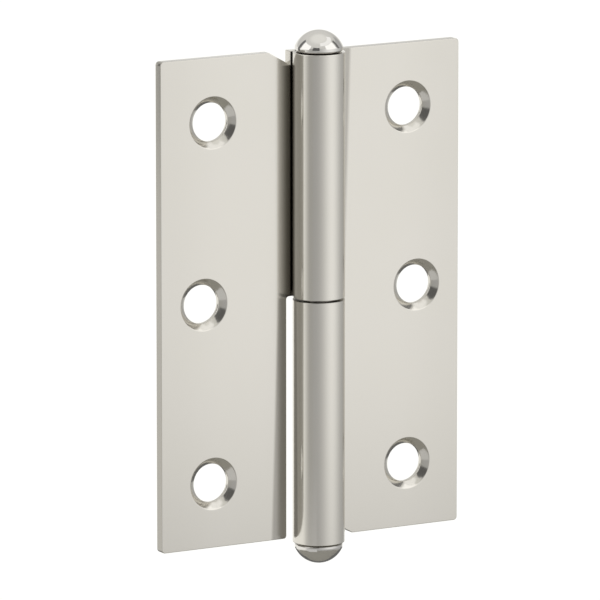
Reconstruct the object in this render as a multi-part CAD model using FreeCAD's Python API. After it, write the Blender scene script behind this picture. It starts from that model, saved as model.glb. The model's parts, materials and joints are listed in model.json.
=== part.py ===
import FreeCAD, Part
import math
import os

# Lift-off butt hinge, open flat and upright, in millimetres.
# The pin stands along +Z with the origin on its axis at half height.
# The frame leaf lies toward +X, the door leaf toward -X, and the knuckles stand out toward -Y.
# Both leaves are the same pressing: the door leaf is the frame leaf turned half a turn about Y.

# Leaf
leaf_height = 80.0
leaf_reach = 27.5  # pin axis to a leaf's outer edge
leaf_offset = 0.35  # the door leaf stands this much higher than the frame leaf
sheet = 1.7
corner_radius = 0.6
edge_break = 0.2  # bevel round the knuckle's ends

# Knuckle
pin_diameter = 5.0
running_clearance = 0.04  # radial play between the pin and a rolled bore
knuckle_gap = 0.3  # between the facing ends of the two knuckles
seam_gap = 0.3  # left open between the roll's free end and the leaf's front
slit_clearance = 0.3  # between a knuckle and the other leaf's edge
slit_corner_radius = 0.5

# Notch where the roll starts, at the knuckle's outer end
notch_depth = 2.2
notch_run = 3.9  # length of its slope along the leaf's end
notch_inset = 0.4  # its upright side stands this far inside the knuckle's outside

# Countersunk screw holes: two near the leaf's ends and one staggered outward between them
hole_diameter = 6.3
countersink_diameter = 8.5
countersink_depth = 0.95
end_hole_reach = 18.0  # pin axis to the two end holes
end_hole_spacing = 59.0
middle_hole_reach = 19.7

# Domed heads of the pin and the cap
head_diameter = 7.8
head_height = 3.45
head_rim = 0.8  # upright rim below the dome
head_edge_radius = 0.4  # rounding of the rim where it seats
head_gap = 0.1  # between a head and its knuckle's end

# Pin end and cap plug
pin_tip_chamfer = 0.8
cap_plug_length = 4.0
cap_fit = 0.01  # radial fit of the plug in the bore
pin_end_gap = 2.0  # air between the pin's tip and the plug

bore_radius = pin_diameter / 2 + running_clearance
knuckle_radius = bore_radius + sheet
seam_angle = math.degrees(math.asin((bore_radius - seam_gap) / knuckle_radius))  # from the leaf's side of the pin
leaf_bottom = -(leaf_height + leaf_offset) / 2
leaf_top = leaf_bottom + leaf_height
slit_edge = knuckle_radius + slit_clearance
knuckle_end = -knuckle_gap / 2
notch_upright = knuckle_radius - notch_inset
past = sheet  # how far a cutting tool runs past the sheet

UP = FreeCAD.Vector(0, 0, 1)
THROUGH_SHEET = FreeCAD.Vector(0, 1, 0)
ORIGIN = FreeCAD.Vector(0, 0, 0)


def on_circle(radius, degrees):
    angle = math.radians(degrees)
    return FreeCAD.Vector(radius * math.cos(angle), radius * math.sin(angle), 0)


def rolled_sheet():
    """The leaf's section drawn up to full height: flat behind the pin, then rolled round it to an open seam."""
    back_edge = FreeCAD.Vector(leaf_reach, knuckle_radius, 0)
    front_edge = FreeCAD.Vector(leaf_reach, bore_radius, 0)
    half_way = (90 + 360 + seam_angle) / 2
    outside = Part.Arc(
        on_circle(knuckle_radius, 90), on_circle(knuckle_radius, half_way), on_circle(knuckle_radius, seam_angle)
    )
    inside = Part.Arc(
        on_circle(bore_radius, seam_angle), on_circle(bore_radius, half_way), on_circle(bore_radius, 90)
    )
    section = Part.Wire([
        Part.makeLine(back_edge, on_circle(knuckle_radius, 90)),
        outside.toShape(),
        Part.makeLine(on_circle(knuckle_radius, seam_angle), on_circle(bore_radius, seam_angle)),
        inside.toShape(),
        Part.makeLine(on_circle(bore_radius, 90), front_edge),
        Part.makeLine(front_edge, back_edge),
    ])
    section.translate(FreeCAD.Vector(0, 0, leaf_bottom))
    return Part.Face(section).extrude(UP * leaf_height)


def slit():
    """Room for the other leaf's knuckle: the upper half's sheet is cut back to a straight edge beside it."""
    width = slit_edge + knuckle_radius + past
    depth = 2 * knuckle_radius + 2 * past
    height = leaf_top - knuckle_end + past
    room = Part.makeBox(width, depth, height, FreeCAD.Vector(slit_edge - width, -knuckle_radius - past, knuckle_end))
    inner_corner = [
        edge for edge in room.Edges
        if all(abs(v.X - slit_edge) < 1e-6 and abs(v.Z - knuckle_end) < 1e-6 for v in edge.Vertexes)
    ]
    return room.makeFillet(slit_corner_radius, inner_corner)


def notch():
    """Cut at the knuckle's outer end, upright on the knuckle's side and sloping out to the leaf's end."""
    seam_side = (bore_radius + knuckle_radius * math.sin(math.radians(seam_angle))) / 2
    floor = leaf_bottom + notch_depth
    outline = Part.makePolygon([
        FreeCAD.Vector(notch_upright, seam_side, leaf_bottom - past),
        FreeCAD.Vector(notch_upright, seam_side, floor),
        FreeCAD.Vector(notch_upright + notch_run, seam_side, leaf_bottom),
        FreeCAD.Vector(notch_upright + notch_run, seam_side, leaf_bottom - past),
        FreeCAD.Vector(notch_upright, seam_side, leaf_bottom - past),
    ])
    return Part.Face(outline).extrude(THROUGH_SHEET * (knuckle_radius + past - seam_side))


def screw_hole(reach, height):
    """A clearance hole with its countersink on the knuckle's side of the leaf."""
    front = FreeCAD.Vector(reach, bore_radius, height)
    bore = Part.makeCylinder(hole_diameter / 2, sheet + past, front, THROUGH_SHEET)
    cone = Part.makeCone(countersink_diameter / 2, hole_diameter / 2, countersink_depth, front, THROUGH_SHEET)
    return bore.fuse(cone)


def rounded_corners(leaf):
    """Rounds the two corners of the leaf's outer edge, and the corner where the slit leaves its end."""
    def corner(reach, height):
        return [
            edge for edge in leaf.Edges
            if all(abs(v.X - reach) < 1e-6 and abs(v.Z - height) < 1e-6 for v in edge.Vertexes)
        ]
    leaf = leaf.makeFillet(corner_radius, corner(leaf_reach, leaf_bottom) + corner(leaf_reach, leaf_top))
    return leaf.makeFillet(slit_corner_radius, corner(slit_edge, leaf_top))


def rim_bevel(end, inward, run):
    """Bevel round a knuckle's end: along the roll's outside, then straight on behind the pin for the given run."""
    corner = Part.Face(Part.makePolygon([
        FreeCAD.Vector(0, knuckle_radius - 2 * edge_break, end - inward * edge_break),
        FreeCAD.Vector(0, knuckle_radius + edge_break, end - inward * edge_break),
        FreeCAD.Vector(0, knuckle_radius + edge_break, end + inward * 2 * edge_break),
        FreeCAD.Vector(0, knuckle_radius - 2 * edge_break, end - inward * edge_break),
    ]))
    round_roll = corner.revolve(ORIGIN, UP, 270 + seam_angle)
    return round_roll.fuse(corner.extrude(FreeCAD.Vector(run, 0, 0)))


def frame_leaf():
    """The right leaf, with the lower knuckle."""
    leaf = rolled_sheet().cut([slit(), notch()])
    leaf = rounded_corners(leaf)
    bevels = [
        rim_bevel(knuckle_end, -1, slit_edge - slit_corner_radius),
        rim_bevel(leaf_bottom, 1, notch_upright),
    ]
    middle = (leaf_bottom + leaf_top) / 2
    holes = [screw_hole(end_hole_reach, middle + side * end_hole_spacing / 2) for side in (-1, 1)]
    holes.append(screw_hole(middle_hole_reach, middle))
    return leaf.cut(bevels + holes)


def door_leaf():
    """The left leaf, with the upper knuckle."""
    leaf = frame_leaf()
    leaf.rotate(ORIGIN, THROUGH_SHEET, 180)
    return leaf


def turned(profile):
    """A piece turned about the pin axis from its half profile of (radius, height) points and dome arcs."""
    return Part.Face(Part.Wire(profile)).revolve(ORIGIN, UP, 360)


def domed_stem(stem_radius, stem_length, tip_chamfer):
    """A dome below a stem that rises from it, with the dome's seat at height zero."""
    def at(radius, height):
        return FreeCAD.Vector(radius, 0, height)
    head_radius = head_diameter / 2
    dome_height = head_height - head_rim
    sphere_radius = (head_radius ** 2 + dome_height ** 2) / (2 * dome_height)
    sphere_height = -head_height + sphere_radius
    half_angle = math.asin(head_radius / sphere_radius) / 2
    dome_middle = at(sphere_radius * math.sin(half_angle), sphere_height - sphere_radius * math.cos(half_angle))
    corner = head_edge_radius * (1 - math.sqrt(0.5))
    dome = Part.Arc(at(0, -head_height), dome_middle, at(head_radius, -head_rim))
    rim_edge = Part.Arc(
        at(head_radius, -head_edge_radius), at(head_radius - corner, -corner), at(head_radius - head_edge_radius, 0)
    )
    return turned([
        dome.toShape(),
        Part.makeLine(at(head_radius, -head_rim), at(head_radius, -head_edge_radius)),
        rim_edge.toShape(),
        Part.makeLine(at(head_radius - head_edge_radius, 0), at(stem_radius, 0)),
        Part.makeLine(at(stem_radius, 0), at(stem_radius, stem_length - tip_chamfer)),
        Part.makeLine(at(stem_radius, stem_length - tip_chamfer), at(stem_radius - tip_chamfer, stem_length)),
        Part.makeLine(at(stem_radius - tip_chamfer, stem_length), at(0, stem_length)),
        Part.makeLine(at(0, stem_length), at(0, -head_height)),
    ])


def hinge_pin():
    """The pin: its head under the lower knuckle, its chamfered tip just short of the cap's plug."""
    seat = leaf_bottom - head_gap
    tip = -seat - cap_plug_length - pin_end_gap
    pin = domed_stem(pin_diameter / 2, tip - seat, pin_tip_chamfer)
    pin.translate(UP * seat)
    return pin


def top_cap():
    """The cap: the same head turned over, with a short plug down the upper knuckle's bore."""
    cap = domed_stem(bore_radius - cap_fit, cap_plug_length, pin_tip_chamfer / 2)
    cap.rotate(ORIGIN, THROUGH_SHEET, 180)
    cap.translate(UP * (head_gap - leaf_bottom))
    return cap


os.makedirs("parts", exist_ok=True)
for piece in (frame_leaf, door_leaf, hinge_pin, top_cap):
    piece().exportStep(f"parts/{piece.__name__}.step")
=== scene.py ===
import bmesh
import bpy
import json
import math
from mathutils import Matrix, Vector


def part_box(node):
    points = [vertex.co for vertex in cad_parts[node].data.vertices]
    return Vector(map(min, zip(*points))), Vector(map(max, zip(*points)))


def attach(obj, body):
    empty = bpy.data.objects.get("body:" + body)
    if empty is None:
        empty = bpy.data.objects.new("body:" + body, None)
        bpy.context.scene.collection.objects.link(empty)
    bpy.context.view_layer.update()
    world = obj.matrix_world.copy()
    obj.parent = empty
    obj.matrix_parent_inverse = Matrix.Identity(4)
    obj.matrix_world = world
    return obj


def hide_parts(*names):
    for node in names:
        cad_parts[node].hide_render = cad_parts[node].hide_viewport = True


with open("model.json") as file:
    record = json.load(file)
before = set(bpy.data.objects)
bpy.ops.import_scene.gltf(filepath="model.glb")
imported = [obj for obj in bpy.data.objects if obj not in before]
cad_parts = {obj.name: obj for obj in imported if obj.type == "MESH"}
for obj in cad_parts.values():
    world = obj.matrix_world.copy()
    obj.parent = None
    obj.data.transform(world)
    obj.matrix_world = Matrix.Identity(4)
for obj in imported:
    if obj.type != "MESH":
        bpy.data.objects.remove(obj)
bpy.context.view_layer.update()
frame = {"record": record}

# Leaves
# Each leaf is one punched steel sheet: flat with three countersunk screw holes, and half of its inner edge
# rolled round the pin into a knuckle whose end stops at an open seam. Both come from the same tool, so the
# door leaf is the frame leaf turned half a turn about the line through the sheet. The plate is satin nickel.
leaf_low, leaf_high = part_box("frame_leaf")
knuckle_radius = leaf_high.y
leaf_reach = leaf_high.x
leaf_bottom = leaf_low.z
leaf_top = leaf_high.z
sheet = 0.0017
bore_radius = knuckle_radius - sheet
knuckle_end = -0.00015
seam_gap = 0.0003
seam_angle = math.asin((bore_radius - seam_gap) / knuckle_radius)
slit_clearance = 0.0003
slit_edge = knuckle_radius + slit_clearance
slit_corner = 0.0005
outer_corner = 0.0006
corner_steps = 8
notch_inset = 0.0004
notch_upright = knuckle_radius - notch_inset
notch_run = 0.0039
notch_depth = 0.0022
countersink_radius = 0.00425
countersink_depth = 0.00095
hole_steps = 96
roll_steps = 128
rim_round = 0.00014
bevel_steps = 3
same_place = 1e-7  # points closer than this are one point
mounts = {mount["name"]: mount for mount in frame["record"]["mounts"]}


def screw_holes():
    """Centres of the three holes in the frame leaf, from the mounts that fasten it, and their wall radius."""
    ends = mounts["frame_end_holes"]
    middle = mounts["frame_middle_hole"]
    half_spacing = ends["dims"]["spacing_y_mm"] / 2000
    reach = ends["pos_m"][0]
    height = ends["pos_m"][2]
    centres = [(reach, height - half_spacing), (reach, height + half_spacing), (middle["pos_m"][0], height)]
    return centres, middle["dims"]["r_mm"] / 1000


def bevel_sharp(bm, width, sharper_than):
    """Rounds every edge whose faces turn by more than the given degrees."""
    edges = [e for e in bm.edges if e.is_manifold and e.calc_face_angle() > math.radians(sharper_than)]
    bmesh.ops.bevel(
        bm, geom=edges, offset=width, offset_type="OFFSET", affect="EDGES", segments=bevel_steps,
        profile=0.5, clamp_overlap=True, material=-1,
    )


def smooth_mesh(name, bm):
    for face in bm.faces:
        face.smooth = True
    mesh = bpy.data.meshes.new(name)
    bm.to_mesh(mesh)
    bm.free()
    return mesh


def whole(faces):
    """The faces with their edges and corners, so that drawing them on leaves nothing behind."""
    edges = {e for f in faces for e in f.edges}
    verts = {v for f in faces for v in f.verts}
    return faces + list(edges) + list(verts)


def punched_blank(bm):
    """The flat part of the leaf: its outline and holes filled on the front, then drawn through the sheet."""
    outline = [
        (0, leaf_bottom), (notch_upright, leaf_bottom), (notch_upright, leaf_bottom + notch_depth),
        (notch_upright + notch_run, leaf_bottom), (leaf_reach, leaf_bottom), (leaf_reach, leaf_top),
        (slit_edge, leaf_top), (slit_edge, knuckle_end), (0, knuckle_end),
    ]
    corners = [bm.verts.new((x, bore_radius, z)) for x, z in outline]
    bm.faces.new(corners)
    rounded = [(corners[4:6], outer_corner), (corners[6:8], slit_corner)]
    for verts, radius in rounded:
        bmesh.ops.bevel(
            bm, geom=verts, offset=radius, offset_type="OFFSET", affect="VERTICES", segments=corner_steps,
            profile=0.5, clamp_overlap=True, material=-1,
        )
    bmesh.ops.delete(bm, geom=bm.faces[:], context="FACES_ONLY")
    centres, hole_radius = screw_holes()
    lie_in_leaf = Matrix.Rotation(math.pi / 2, 4, "X")
    for x, z in centres:
        place = Matrix.Translation((x, bore_radius, z)) @ lie_in_leaf
        bmesh.ops.create_circle(bm, segments=hole_steps, radius=countersink_radius, matrix=place)
    front = bmesh.ops.triangle_fill(bm, edges=bm.edges[:], use_beauty=True, use_dissolve=False)
    faces = [f for f in front["geom"] if isinstance(f, bmesh.types.BMFace)]

    def draw_through(faces, depth):
        drawn = bmesh.ops.extrude_face_region(bm, geom=whole(faces))["geom"]
        verts = [v for v in drawn if isinstance(v, bmesh.types.BMVert)]
        bmesh.ops.translate(bm, verts=verts, vec=(0, depth, 0))
        return verts, [f for f in drawn if isinstance(f, bmesh.types.BMFace)]

    verts, faces = draw_through(faces, countersink_depth)
    in_hole = countersink_radius * 1.01  # a little past the rim, so that the rim's own points count
    for x, z in centres:
        ring = [v for v in verts if math.hypot(v.co.x - x, v.co.z - z) < in_hole]
        shrink = hole_radius / countersink_radius
        centre = Matrix.Translation((-x, 0, -z))
        bmesh.ops.scale(bm, verts=ring, vec=(shrink, 1, shrink), space=centre)
    draw_through(faces, sheet - countersink_depth)

    half_way = bore_radius + countersink_depth
    seams = [
        e for e in bm.edges
        if all(abs(v.co.y - half_way) < same_place for v in e.verts)
        and all(math.hypot(e.verts[0].co.x - x, e.verts[0].co.z - z) > in_hole for x, z in centres)
    ]
    bmesh.ops.dissolve_edges(bm, edges=seams, use_verts=True)
    flat_angle = 1e-4
    flat = [e for e in bm.edges if e.is_manifold and e.calc_face_angle() < flat_angle]
    bmesh.ops.dissolve_limit(bm, angle_limit=10 * flat_angle, verts=[], edges=flat)


def rolled_leaf(name):
    bm = bmesh.new()
    punched_blank(bm)
    inner_edge = [f for f in bm.faces if all(abs(v.co.x) < same_place for v in f.verts)]
    bmesh.ops.spin(
        bm, geom=whole(inner_edge), cent=(0, 0, 0), axis=(0, 0, 1), angle=math.radians(270) + seam_angle,
        steps=roll_steps, use_duplicate=False,
    )
    bmesh.ops.remove_doubles(bm, verts=bm.verts[:], dist=same_place)
    bmesh.ops.recalc_face_normals(bm, faces=bm.faces[:])
    bevel_sharp(bm, width=rim_round, sharper_than=30)
    return smooth_mesh(name, bm)


def piece(name, mesh, material, node, body):
    made = bpy.data.objects.new(name, mesh)
    bpy.context.scene.collection.objects.link(made)
    mesh.materials.append(material)
    shading = made.modifiers.new("even shading", "WEIGHTED_NORMAL")
    shading.weight = 50
    shading.keep_sharp = False
    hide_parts(node)
    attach(made, body)
    return made


class Shade:
    """A value in a material. Arithmetic on it adds Math nodes, and node() adds any other node."""

    def __init__(self, tree, socket=None):
        self.tree = tree
        self.socket = socket

    def node(self, kind, settings=None, inputs=None, output=0):
        made = self.tree.nodes.new(kind)
        for name, value in (settings or {}).items():
            setattr(made, name, value)
        for name, value in (inputs or {}).items():
            if isinstance(value, Shade):
                self.tree.links.new(value.socket, made.inputs[name])
            else:
                made.inputs[name].default_value = value
        return Shade(self.tree, None if output is None else made.outputs[output])

    def ramp(self, start, end):
        """Nought at the start, one at the end, and smooth between them."""
        return self.node(
            "ShaderNodeMapRange", {"interpolation_type": "SMOOTHSTEP"},
            {"Value": self, "From Min": start, "From Max": end, "To Min": 0.0, "To Max": 1.0},
        )

    def blend(self, first, second):
        """A colour that goes from the first to the second as this value goes from nought to one."""
        return self.node("ShaderNodeMix", {"data_type": "RGBA"}, {0: self, 6: first, 7: second}, output=2)

    def axes(self):
        return [self.node("ShaderNodeSeparateXYZ", {}, {"Vector": self}, output=axis) for axis in "XYZ"]

    def maths(self, operation, first, second):
        return self.node("ShaderNodeMath", {"operation": operation}, {0: first, 1: second})

    def size(self):
        return self.maths("ABSOLUTE", self, 0.0)

    def larger(self, other):
        return self.maths("MAXIMUM", self, other)

    def __add__(self, other):
        return self.maths("ADD", self, other)

    __radd__ = __add__

    def __sub__(self, other):
        return self.maths("SUBTRACT", self, other)

    def __rsub__(self, other):
        return self.maths("SUBTRACT", other, self)

    def __mul__(self, other):
        return self.maths("MULTIPLY", self, other)

    __rmul__ = __mul__


def nickel(name, tint, deep_tint, roughness, grain, dulled_and_shaded):
    """Nickel plate: faint cloudy tint, a fine matte grain and the sheet's drawn lines along the pin.

    The dull places and those with painted shade, one where the plate is darkest, come from a function of the
    place on the piece.
    """
    cloud_scale = 90.0
    line_scale = 5000.0
    line_stretch = (1.0, 1.0, 0.03)
    speck_scale = 9000.0
    dull_and_shade_tint = (0.09, 0.082, 0.066)
    cloud_roughness = 0.05
    line_roughness = 0.03
    dull_roughness = 0.1
    speck_share = 0.8
    grain_depth = 0.00002
    material = bpy.data.materials.new(name)
    material.use_nodes = True
    tree = material.node_tree
    shader = tree.nodes["Principled BSDF"]
    start = Shade(tree)
    place = start.node("ShaderNodeTexCoord", output="Object")
    cloud = start.node(
        "ShaderNodeTexNoise", {}, {"Vector": place, "Scale": cloud_scale, "Detail": 3.0, "Roughness": 0.5}
    )
    drawn = start.node("ShaderNodeMapping", {}, {"Vector": place, "Scale": line_stretch})
    lines = start.node("ShaderNodeTexNoise", {}, {"Vector": drawn, "Scale": line_scale, "Detail": 2.0})
    speck = start.node("ShaderNodeTexNoise", {}, {"Vector": place, "Scale": speck_scale, "Detail": 2.0})
    dull_and_shade = dulled_and_shaded(*place.axes())
    # The dark tint goes both where the plate is dull and where shade is painted in.
    colour = dull_and_shade.blend(cloud.blend((*deep_tint, 1.0), (*tint, 1.0)), (*dull_and_shade_tint, 1.0))
    tree.links.new(colour.socket, shader.inputs["Base Color"])
    uneven = (cloud - 0.5) * cloud_roughness + (lines - 0.5) * line_roughness
    rough = roughness + uneven + dull_and_shade * dull_roughness
    tree.links.new(rough.socket, shader.inputs["Roughness"])
    height = speck * speck_share + lines * (1 - speck_share)
    bump = start.node("ShaderNodeBump", {}, {"Height": height, "Strength": grain, "Distance": grain_depth})
    tree.links.new(bump.socket, shader.inputs["Normal"])
    shader.inputs["Metallic"].default_value = 1.0
    return material


def dulled_and_shaded_sheet(x, y, z):
    """How dark and dull the leaf's plate is. Painted shade fills the crevice at the seam and the knuckle rims
    at the split, a painted dark reflection lies beside the slit, the cut edges are darker and duller, and the
    plate darkens slightly toward its outer edge.

    A pair of places, in metres, says where a darker area begins and where it is dark in full.
    """
    seam_half = (1e-6, -1e-6)  # of reach times height, which is negative on the half with the knuckle
    slit_side = (0.0043, 0.0045)
    front_near = (0.0016, 0.0024)
    front_far = (0.0034, 0.0027)
    short_of_notch = (0.0380, 0.0378)
    crevice_reach = (0.0058, 0.0042)
    clear_of_roll = (0.0034, 0.0038)
    strip_reach = (0.0064, 0.0057)
    strip_lean = 0.03  # the strip widens this much for its height
    sheet_front = (bore_radius + 0.00002, bore_radius + 0.0001)
    sheet_back = (knuckle_radius, knuckle_radius - 0.0001)
    outer_cut = (leaf_reach - 0.0005, leaf_reach - 0.0003)
    end_cut = (0.0374, 0.0378)
    outer_darkening_reach = (0.015, leaf_reach)
    rim_height = (0.0003, 0.00016)
    rim_reach = (0.0046, 0.0043)
    reach = x.size()
    height = z.size()
    beside_seam = (x * z).ramp(*seam_half)
    past_slit = reach.ramp(*slit_side)
    on_front = y.ramp(*front_near) * y.ramp(*front_far)
    in_sheet = y.ramp(*sheet_front) * y.ramp(*sheet_back)
    at_seam = height.ramp(*short_of_notch) * beside_seam
    # Painted shade, the darkest of all, in the crevice between the leaf's front and the open seam of its
    # knuckle.
    crevice = reach.ramp(*crevice_reach) * reach.ramp(*clear_of_roll) * on_front * at_seam
    leaning = reach - height * strip_lean
    # Painted dark reflection on the front beside the slit, next to the other leaf's knuckle.
    slit_strip = leaning.ramp(*strip_reach) * on_front * past_slit * (1 - beside_seam)
    outer_edge = in_sheet * reach.ramp(*outer_cut)
    end_edges = in_sheet * height.ramp(*end_cut) * past_slit
    # Painted shade on the knuckle rims at the split between the two knuckles.
    rims = height.ramp(*rim_height) * reach.ramp(*rim_reach)
    # Slightly darker toward the leaf's outer edge.
    toward_outer_edge = reach.ramp(*outer_darkening_reach)
    dull_and_shade = crevice * 0.9
    lesser = [(slit_strip, 0.42), (outer_edge, 0.48), (end_edges, 0.36), (rims, 0.5), (toward_outer_edge, 0.05)]
    for area, strength in lesser:
        dull_and_shade = dull_and_shade.larger(area * strength)
    return dull_and_shade


satin_nickel = nickel(
    "satin nickel", tint=(0.705, 0.68, 0.63), deep_tint=(0.68, 0.657, 0.597), roughness=0.15, grain=0.05,
    dulled_and_shaded=dulled_and_shaded_sheet,
)
leaf_mesh = rolled_leaf("frame leaf")
piece("frame_leaf_sheet", leaf_mesh, satin_nickel, "frame_leaf", "frame_leaf")
turned_leaf = rolled_leaf("door leaf")
turned_leaf.transform(Matrix.Rotation(math.pi, 4, "Y"))
piece("door_leaf_sheet", turned_leaf, satin_nickel, "door_leaf", "door_leaf")

# Pin and cap
# The pin is turned steel with a domed head under the lower knuckle and a chamfered tip inside the upper one.
# The cap is the same head on a short plug, pushed into the top of the upper knuckle. Both are bright nickel,
# dulled by grease between the heads, with painted shade in the groove where each head meets its knuckle.
pin_low, pin_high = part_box("hinge_pin")
cap_low, cap_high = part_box("top_cap")
head_radius = cap_high.x
head_height = 0.00345
head_rim = 0.0008
head_rim_round = 0.0004
pin_clearance = 0.00004
pin_radius = bore_radius - pin_clearance
plug_clearance = 0.00001
plug_radius = bore_radius - plug_clearance
pin_chamfer = 0.0008
edge_round = 0.0001
dome_steps = 28
rim_steps = 8
turn_steps = 128
pin_seat = pin_low.z + head_height
cap_seat = cap_high.z - head_height
grease_and_groove_shade = 0.6
grease_and_shade_start = 0.0004  # past the seat
grease_and_shade_full = 0.00015


def domed_stem(name, stem_radius, stem_length, chamfer):
    """Turned from its half profile: a dome below the seat at height zero, and a stem above it."""
    dome_height = head_height - head_rim
    sphere_radius = (head_radius ** 2 + dome_height ** 2) / (2 * dome_height)
    sphere_centre = sphere_radius - head_height
    half_angle = math.asin(head_radius / sphere_radius)
    profile = []
    for step in range(dome_steps + 1):
        angle = half_angle * step / dome_steps
        profile.append((sphere_radius * math.sin(angle), sphere_centre - sphere_radius * math.cos(angle)))
    for step in range(rim_steps + 1):
        angle = math.pi / 2 * step / rim_steps
        inset = head_rim_round * (1 - math.cos(angle))
        profile.append((head_radius - inset, head_rim_round * (math.sin(angle) - 1)))
    profile += [
        (stem_radius, 0), (stem_radius, stem_length - chamfer), (stem_radius - chamfer, stem_length),
        (0, stem_length),
    ]
    bm = bmesh.new()
    verts = [bm.verts.new((radius, 0, height)) for radius, height in profile]
    edges = [bm.edges.new(pair) for pair in zip(verts, verts[1:])]
    bmesh.ops.spin(
        bm, geom=verts + edges, cent=(0, 0, 0), axis=(0, 0, 1), angle=math.tau, steps=turn_steps,
        use_merge=True, use_duplicate=False,
    )
    bmesh.ops.remove_doubles(bm, verts=bm.verts[:], dist=same_place)
    bmesh.ops.recalc_face_normals(bm, faces=bm.faces[:])
    bevel_sharp(bm, width=edge_round, sharper_than=40)
    return smooth_mesh(name, bm)


def greased_shank_and_shaded_groove(x, y, z):
    """How dull and dark the turned pieces are: greased between the two seats, with painted shade fading out
    just past each seat into the groove where the head meets its knuckle, and bright on the heads.
    """
    # Grease dulls the shank between the seats; the dark fade just past each seat is painted shade in the
    # groove.
    return z.size().ramp(-pin_seat + grease_and_shade_start, -pin_seat + grease_and_shade_full) * grease_and_groove_shade


bright_nickel = nickel(
    "bright nickel", tint=(0.74, 0.725, 0.69), deep_tint=(0.72, 0.70, 0.665), roughness=0.06, grain=0.02,
    dulled_and_shaded=greased_shank_and_shaded_groove,
)
pin_mesh = domed_stem("hinge pin", pin_radius, pin_high.z - pin_seat, pin_chamfer)
pin_mesh.transform(Matrix.Translation((0, 0, pin_seat)))
piece("turned_hinge_pin", pin_mesh, bright_nickel, "hinge_pin", "hinge_pin")
cap_mesh = domed_stem("top cap", plug_radius, cap_seat - cap_low.z, pin_chamfer / 2)
cap_mesh.transform(Matrix.Translation((0, 0, cap_seat)) @ Matrix.Rotation(math.pi, 4, "Y"))
piece("turned_top_cap", cap_mesh, bright_nickel, "top_cap", "door_leaf")

# Floor
# A round, plain pale floor well below the hinge. It fades out toward its rim, so that the picture has no
# horizon.
floor_radius = 0.6
floor_height = -0.3
floor_steps = 96
floor_tint = (0.43, 0.42, 0.385, 1)


def staged(name, bm, in_picture):
    """Stands a finished shape in the studio, where it belongs to the set and not to the hinge."""
    mesh = bpy.data.meshes.new(name)
    bm.to_mesh(mesh)
    bm.free()
    made = bpy.data.objects.new(name, mesh)
    bpy.context.scene.collection.objects.link(made)
    made.visible_camera = in_picture
    return made


bm = bmesh.new()
floor_place = Matrix.Translation((0, 0, floor_height))
bmesh.ops.create_circle(bm, cap_ends=True, segments=floor_steps, radius=floor_radius, matrix=floor_place)
floor = staged("floor", bm, in_picture=True)
pale = bpy.data.materials.new("pale floor")
pale.use_nodes = True
paint = pale.node_tree.nodes["Principled BSDF"]
paint.inputs["Base Color"].default_value = floor_tint
paint.inputs["Roughness"].default_value = 0.9
ground = Shade(pale.node_tree)
place = ground.node("ShaderNodeTexCoord", output="Object")
middle = Vector((0, 0, floor_height))
distance = ground.node(
    "ShaderNodeVectorMath", {"operation": "DISTANCE"}, {0: place, 1: middle}, output="Value"
)
pale.node_tree.links.new(distance.ramp(floor_radius, floor_radius / 2).socket, paint.inputs["Alpha"])
floor.data.materials.append(pale)

# Room
# The light of an even room, white behind the hinge and grey in front of it. The back wall dims above the
# hinge, and the ceiling is bright, most of all straight overhead.
room_tint = (1.0, 0.995, 0.97, 1.0)
room_grey = 0.46
room_white = 1.05
room_high_back = 0.7
room_overhead = 0.8
overhead_spot = 0.17
straight_back = (-0.3, 0.954, 0.0)
back_fade = (-0.1, 0.6)
high_back_fade = (0.1, 0.28)
overhead_fade = (0.25, 0.75)
spot_fade = (0.8, 0.97)
room = bpy.data.worlds.new("room")
room.use_nodes = True
bpy.context.scene.world = room
air = Shade(room.node_tree)
direction = air.node("ShaderNodeTexCoord", output="Generated")
toward_back = air.node(
    "ShaderNodeVectorMath", {"operation": "DOT_PRODUCT"}, {0: direction, 1: straight_back}, output="Value"
)
rise = air.node("ShaderNodeSeparateXYZ", {}, {"Vector": direction}, output="Z")
back_wall = room_white - rise.ramp(*high_back_fade) * (room_white - room_high_back)
behind = toward_back.ramp(*back_fade)
walls = behind * back_wall + (1 - behind) * room_grey
overhead = rise.ramp(*overhead_fade)
brightness = walls * (1 - overhead) + overhead * room_overhead + rise.ramp(*spot_fade) * overhead_spot
room.node_tree.nodes["Background"].inputs["Color"].default_value = room_tint
room.node_tree.links.new(brightness.socket, room.node_tree.nodes["Background"].inputs["Strength"])

# Diffuser
# A curved sheet of white diffuser round the hinge's right front, lit from behind, brightest at its middle
# and fading to the room's grey at its ends and its lower edge.
diffuser_distance = 0.4
diffuser_bottom = -0.22
diffuser_top = 0.30
diffuser_from = math.radians(-55)
diffuser_to = math.radians(115)
diffuser_steps = 64
glow_middle = math.radians(30)
glow_width = math.radians(42)
glow_fade = (-0.215, -0.08)
glow = 0.60


def glow_only(board, name):
    """Gives a board an empty material, for one that only glows, and returns the start of its nodes."""
    material = bpy.data.materials.new(name)
    material.use_nodes = True
    material.node_tree.nodes.clear()
    board.data.materials.append(material)
    return Shade(material.node_tree)


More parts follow.
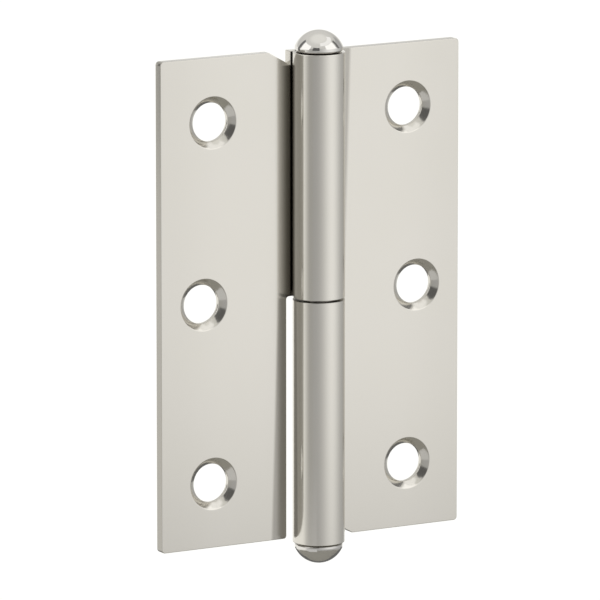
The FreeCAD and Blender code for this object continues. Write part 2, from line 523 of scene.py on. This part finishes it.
bm = bmesh.new()
ends = [
    bm.verts.new((
        diffuser_distance * math.sin(diffuser_from), -diffuser_distance * math.cos(diffuser_from), edge_height
    ))
    for edge_height in (diffuser_bottom, diffuser_top)
]
side = bm.edges.new(ends)
bmesh.ops.spin(
    bm, geom=ends + [side], cent=(0, 0, 0), axis=(0, 0, 1), angle=diffuser_to - diffuser_from,
    steps=diffuser_steps, use_duplicate=False,
)
diffuser = staged("diffuser", bm, in_picture=False)
cloth = glow_only(diffuser, "lit diffuser")
across, along, rise = cloth.node("ShaderNodeTexCoord", output="Object").axes()
bearing = cloth.maths("ARCTAN2", across, along * -1.0)
off_middle = (bearing - glow_middle) * (1 / glow_width)
bell = cloth.maths("POWER", math.e, off_middle * off_middle * -1.0)
light = bell * rise.ramp(*glow_fade) * glow + room_grey
emission = cloth.node("ShaderNodeEmission", {}, {"Color": light})
cloth.node("ShaderNodeOutputMaterial", {}, {"Surface": emission}, output=None)

# Cards
# White and grey boards and black flags stood round the hinge, nearer than the diffuser. They give the
# polished heads and the countersinks their light patches and dark streaks. None of them is in the picture.
card_distance = 0.36
card_steps = 16


def card(name, bearings, rises, brightness):
    """A board on a sphere round the hinge, between two bearings and two heights in degrees."""
    bm = bmesh.new()
    bmesh.ops.create_grid(bm, x_segments=card_steps, y_segments=card_steps, size=0.5)
    for vert in bm.verts:
        bearing = math.radians(bearings[0] + (bearings[1] - bearings[0]) * (vert.co.x + 0.5))
        rise = math.radians(rises[0] + (rises[1] - rises[0]) * (vert.co.y + 0.5))
        vert.co = card_distance * Vector((
            math.sin(bearing) * math.cos(rise), -math.cos(bearing) * math.cos(rise), math.sin(rise)
        ))
    coat = glow_only(staged(name, bm, in_picture=False), name)
    shine = coat.node("ShaderNodeEmission", {}, {"Strength": brightness})
    coat.node("ShaderNodeOutputMaterial", {}, {"Surface": shine}, output=None)


card("white_board_left", (-126, -76), (12, 50), 1.35)
card("white_board_right", (8, 66), (16, 52), 1.35)
card("white_board_high", (-20, 100), (53, 66), 1.15)
card("black_flag_front", (-60, -26), (6, 46), 0.13)
card("black_flag_left", (-147, -130), (-5, 50), 0.2)
card("black_flag_right", (72, 86), (10, 48), 0.2)
card("black_flag_low", (105, 190), (-55, -22), 0.16)
card("grey_board_low", (-90, -38), (-62, -19), 0.66)

# Camera
# It stands well back to the left of the hinge and a little above it, with a long lens, so that upright edges
# stay nearly parallel.
camera_left = math.radians(29.4)
camera_up = math.radians(11.0)
camera_away = 1.2882
aim = Vector((-0.00347, 0, -0.00008))
lens_pixels = 8000
picture_pixels = 600
back = Vector((
    -math.sin(camera_left) * math.cos(camera_up), -math.cos(camera_left) * math.cos(camera_up),
    math.sin(camera_up),
))
view = bpy.data.cameras.new("camera")
view.sensor_width = 36
view.lens = lens_pixels / picture_pixels * view.sensor_width
view.clip_end = 20
camera = bpy.data.objects.new("camera", view)
bpy.context.scene.collection.objects.link(camera)
camera.location = aim + back * camera_away
camera.rotation_mode = "QUATERNION"
camera.rotation_quaternion = (-back).to_track_quat("-Z", "Y")
bpy.context.scene.camera = camera
bpy.context.scene.view_settings.view_transform = "Standard"
